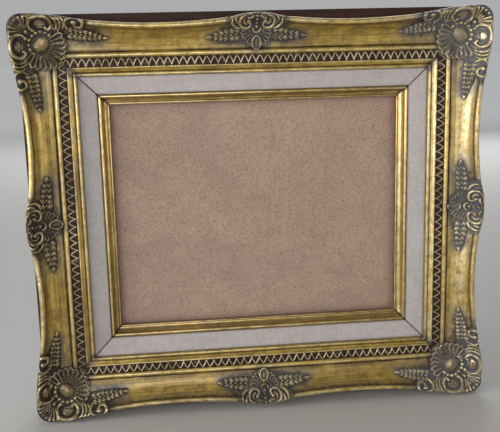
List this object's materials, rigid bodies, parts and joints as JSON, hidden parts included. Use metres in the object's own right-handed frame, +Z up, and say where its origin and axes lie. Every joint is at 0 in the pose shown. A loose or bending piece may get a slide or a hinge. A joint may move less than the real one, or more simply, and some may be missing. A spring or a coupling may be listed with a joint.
{
  "type": "ornate picture display frame",
  "caption": "Landscape gilded swept picture frame with shell corners, linen liner, gilt slip, hardboard back, turn buttons and hanging rings.",
  "frame": {"origin": "centre of the overall box", "axes": "+X to the viewer's right, +Z up, the front faces -Y and the wall side is +Y"},
  "size_m": [0.388, 0.0432, 0.336],
  "materials": {
    "gilded_wood": "antique gold leaf paint, rubbed and toned, satin",
    "gilded_compo": "antique gold on cast ornament, grey-blue toning in the recesses, satin",
    "gilt_slip": "bright gold, streaky, semi gloss",
    "dark_stained_wood": "dark brown stain, satin",
    "raw_wood": "bare sanded wood, matt",
    "linen": "off-white linen weave glued to wood, matt",
    "hardboard": "smooth face of hardboard, pinkish tan with fibre specks, matt",
    "bright_steel": "bright zinc, satin",
    "zinc_steel": "zinc plated, satin",
    "brass_plated": "brass plated steel, satin",
    "felt": "dark felt pad, matt"
  },
  "bodies": {
    "frame": {"rail_top": "gilded_wood", "rail_left": "gilded_wood", "rail_bottom": "gilded_wood", "rail_right": "gilded_wood", "back_bar_top": "dark_stained_wood", "back_bar_left": "dark_stained_wood", "back_bar_bottom": "dark_stained_wood", "back_bar_right": "dark_stained_wood", "tongue_strip_top": "gilded_compo", "tongue_strip_left": "gilded_compo", "tongue_strip_bottom": "gilded_compo", "tongue_strip_right": "gilded_compo", "corner_ornament_tl": "gilded_compo", "corner_ornament_tr": "gilded_compo", "corner_ornament_bl": "gilded_compo", "corner_ornament_br": "gilded_compo", "centre_ornament_top": "gilded_compo", "centre_ornament_left": "gilded_compo", "centre_ornament_bottom": "gilded_compo", "centre_ornament_right": "gilded_compo", "liner_rail_top": "raw_wood", "liner_rail_left": "raw_wood", "liner_rail_bottom": "raw_wood", "liner_rail_right": "raw_wood", "linen_top": "linen", "linen_left": "linen", "linen_bottom": "linen", "linen_right": "linen", "gilt_slip_top": "gilt_slip", "gilt_slip_left": "gilt_slip", "gilt_slip_bottom": "gilt_slip", "gilt_slip_right": "gilt_slip", "backboard": "hardboard", "liner_vnails": "bright_steel", "joint_fasteners": "bright_steel", "button_screws": "bright_steel", "hanger_strap_left": "zinc_steel", "hanger_strap_right": "zinc_steel", "hanger_screws": "bright_steel", "wall_pad_tl": "felt", "wall_pad_tr": "felt", "wall_pad_bl": "felt", "wall_pad_br": "felt"},
    "turn_button_tl": {"turn_button_tl": "brass_plated"},
    "turn_button_tr": {"turn_button_tr": "brass_plated"},
    "turn_button_bl": {"turn_button_bl": "brass_plated"},
    "turn_button_br": {"turn_button_br": "brass_plated"},
    "turn_button_l": {"turn_button_l": "brass_plated"},
    "turn_button_r": {"turn_button_r": "brass_plated"},
    "hanger_ring_left": {"hanger_ring_left": "zinc_steel"},
    "hanger_ring_right": {"hanger_ring_right": "zinc_steel"}
  },
  "joints": [
    {"name": "turn_button_tl_turn", "type": "hinge", "parent": "frame", "child": "turn_button_tl", "pos_m": [-0.06989, 0.01726, 0.131], "axis": [0, 1, 0], "range_deg": [-90, 90]},
    {"name": "turn_button_tr_turn", "type": "hinge", "parent": "frame", "child": "turn_button_tr", "pos_m": [0.06989, 0.01726, 0.131], "axis": [0, 1, 0], "range_deg": [-90, 90]},
    {"name": "turn_button_bl_turn", "type": "hinge", "parent": "frame", "child": "turn_button_bl", "pos_m": [-0.06989, 0.01726, -0.131], "axis": [0, 1, 0], "range_deg": [-90, 90]},
    {"name": "turn_button_br_turn", "type": "hinge", "parent": "frame", "child": "turn_button_br", "pos_m": [0.06989, 0.01726, -0.131], "axis": [0, 1, 0], "range_deg": [-90, 90]},
    {"name": "turn_button_l_turn", "type": "hinge", "parent": "frame", "child": "turn_button_l", "pos_m": [-0.157, 0.01726, 0], "axis": [0, 1, 0], "range_deg": [-90, 90]},
    {"name": "turn_button_r_turn", "type": "hinge", "parent": "frame", "child": "turn_button_r", "pos_m": [0.157, 0.01726, 0], "axis": [0, 1, 0], "range_deg": [-90, 90]},
    {"name": "hanger_ring_left_swing", "type": "hinge", "parent": "frame", "child": "hanger_ring_left", "pos_m": [-0.1694, 0.01886, 0.062], "axis": [1, 0, 0], "range_deg": [0, 180]},
    {"name": "hanger_ring_right_swing", "type": "hinge", "parent": "frame", "child": "hanger_ring_right", "pos_m": [0.1694, 0.01886, 0.062], "axis": [1, 0, 0], "range_deg": [0, 180]}
  ]
}
